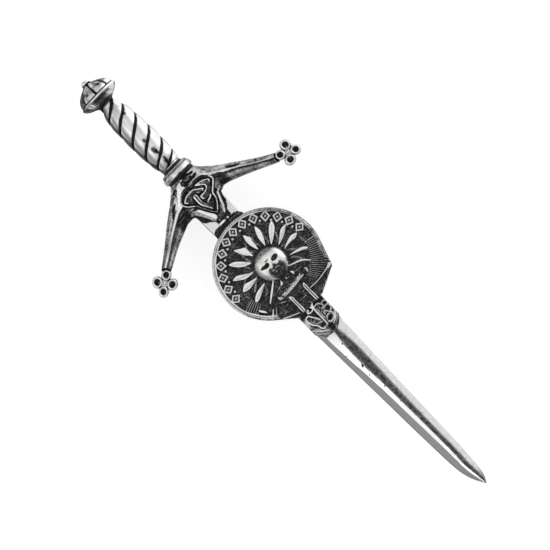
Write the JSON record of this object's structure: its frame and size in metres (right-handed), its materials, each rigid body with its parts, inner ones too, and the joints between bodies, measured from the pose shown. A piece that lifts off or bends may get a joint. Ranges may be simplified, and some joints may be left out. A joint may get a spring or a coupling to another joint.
{
  "type": "kilt pin",
  "caption": "Kilt pin in the form of a small cast claymore, with a belted crest badge on its blade and a closed brooch pin behind it.",
  "frame": {"origin": "middle of the underside of the bounding box, on the surface that the pin lies on", "axes": "+Z is the face of the pin, away from the surface; +Y runs along the sword from its point to its pommel; +X is to the right as seen from the front with the pommel up"},
  "size_m": [0.0368, 0.1022, 0.0128],
  "materials": {
    "polished_pewter": "polished pewter with darkened grooves",
    "antique_pewter": "antiqued pewter, polished on its raised parts and black in its recesses",
    "plated_wire": "nickel-plated steel strip and wire"
  },
  "bodies": {
    "root": {"blade": "polished_pewter", "crossguard": "antique_pewter", "collar": "polished_pewter", "grip": "polished_pewter", "pommel": "antique_pewter", "crest_badge": "antique_pewter", "brooch_pin": "plated_wire"}
  },
  "joints": []
}
